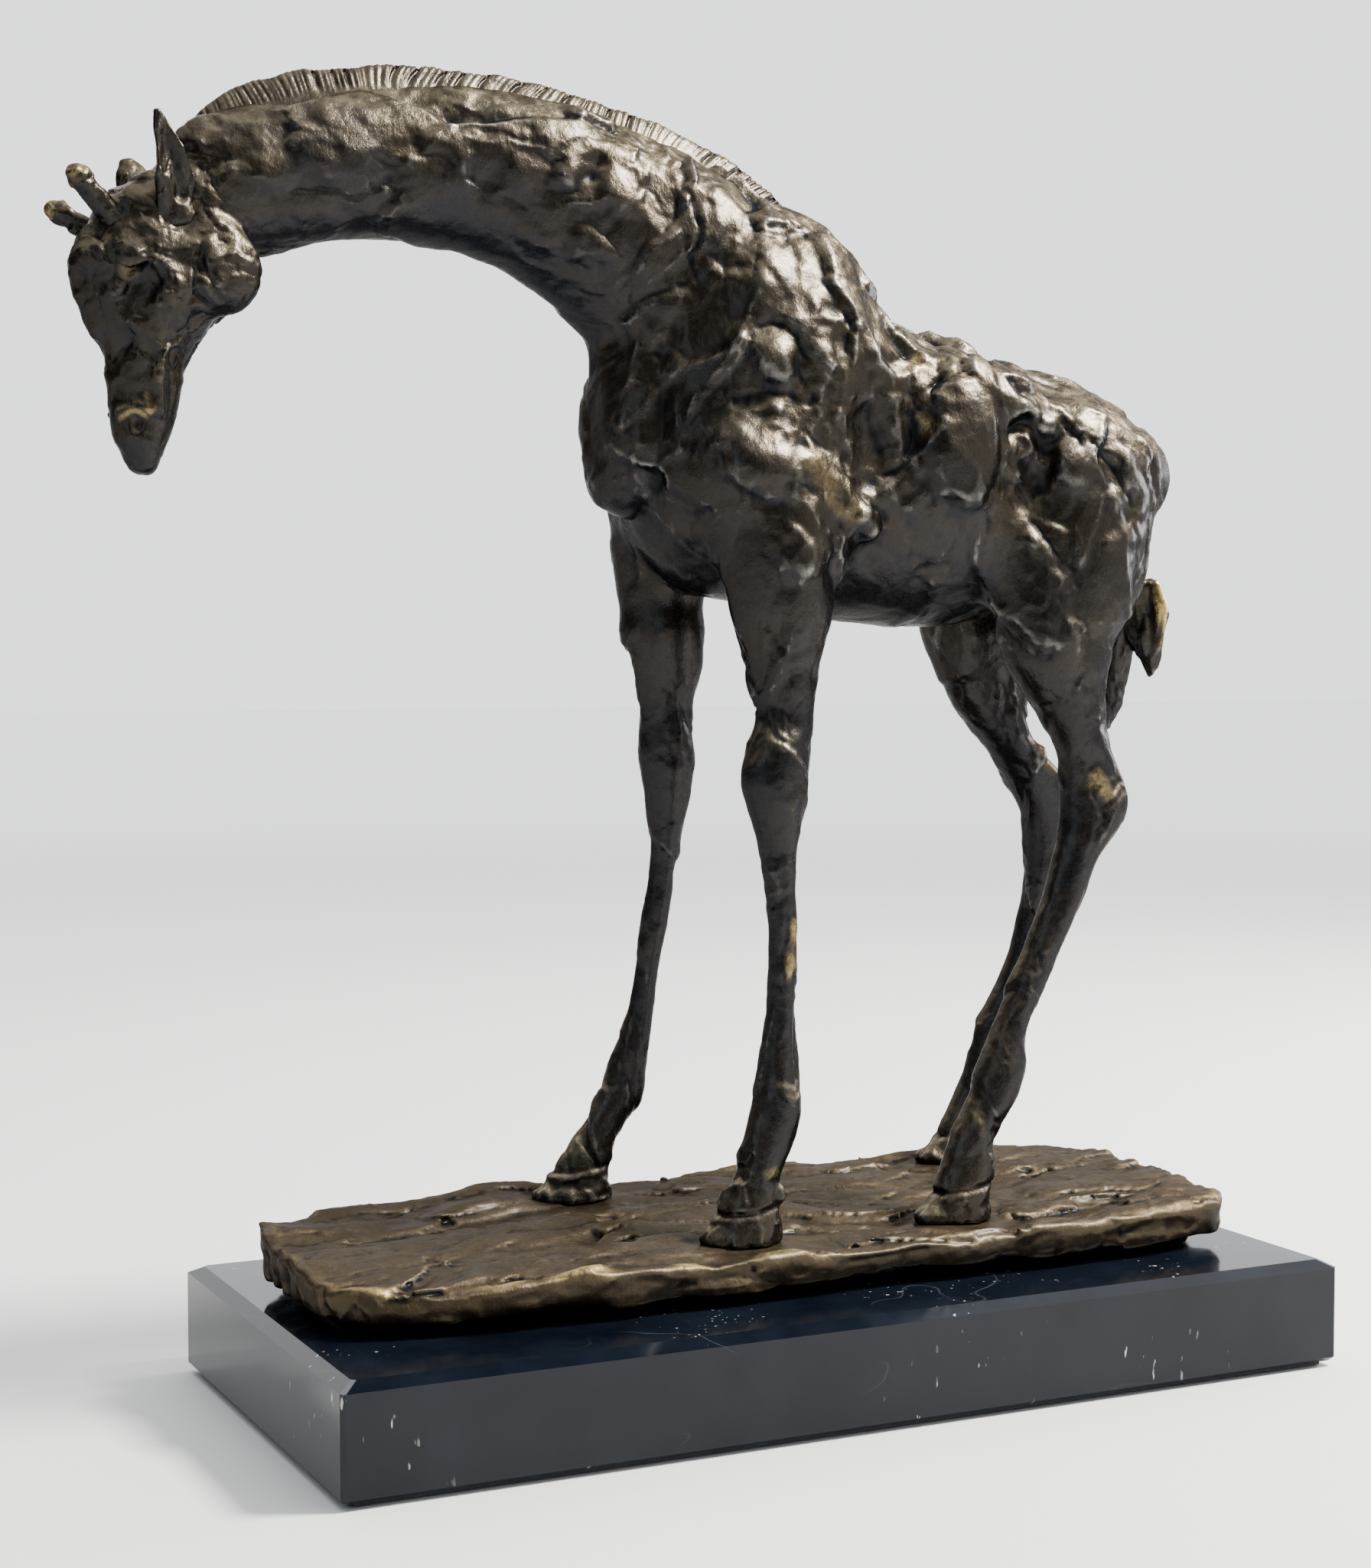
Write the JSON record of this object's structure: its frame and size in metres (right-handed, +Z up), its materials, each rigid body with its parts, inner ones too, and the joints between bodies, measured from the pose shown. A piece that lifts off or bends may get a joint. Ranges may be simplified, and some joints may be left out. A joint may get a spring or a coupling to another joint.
{
  "type": "giraffe statue",
  "caption": "Cast bronze giraffe with a lowered head and neck, welded from separate castings on a rough ground slab, bolted to a chamfered black marble plinth with felt under it.",
  "frame": {"origin": "middle of the underside of the plinth's felt, on the surface the statue stands on", "axes": "+Z up; the plinth's long side lies along X and the giraffe faces -X; its left flank faces -Y"},
  "size_m": [0.3546, 0.142, 0.3652],
  "materials": {
    "bronze": "dark brown patina, satin, rubbed to brass on the edges",
    "marble": "polished black marble with a few white flecks",
    "felt": "dense black felt",
    "steel": "zinc plated"
  },
  "bodies": {
    "root": {"torso_casting": "bronze", "neck_casting": "bronze", "head_casting": "bronze", "ear_left": "bronze", "ear_right": "bronze", "ossicone_left": "bronze", "ossicone_right": "bronze", "fore_leg_left": "bronze", "fore_leg_right": "bronze", "hind_leg_left": "bronze", "hind_leg_right": "bronze", "tail_casting": "bronze", "ground_casting": "bronze", "marble_plinth": "marble", "felt_pad": "felt", "stud_front": "steel", "stud_rear": "steel", "washer_front": "steel", "washer_rear": "steel", "nut_front": "steel", "nut_rear": "steel"}
  },
  "joints": []
}
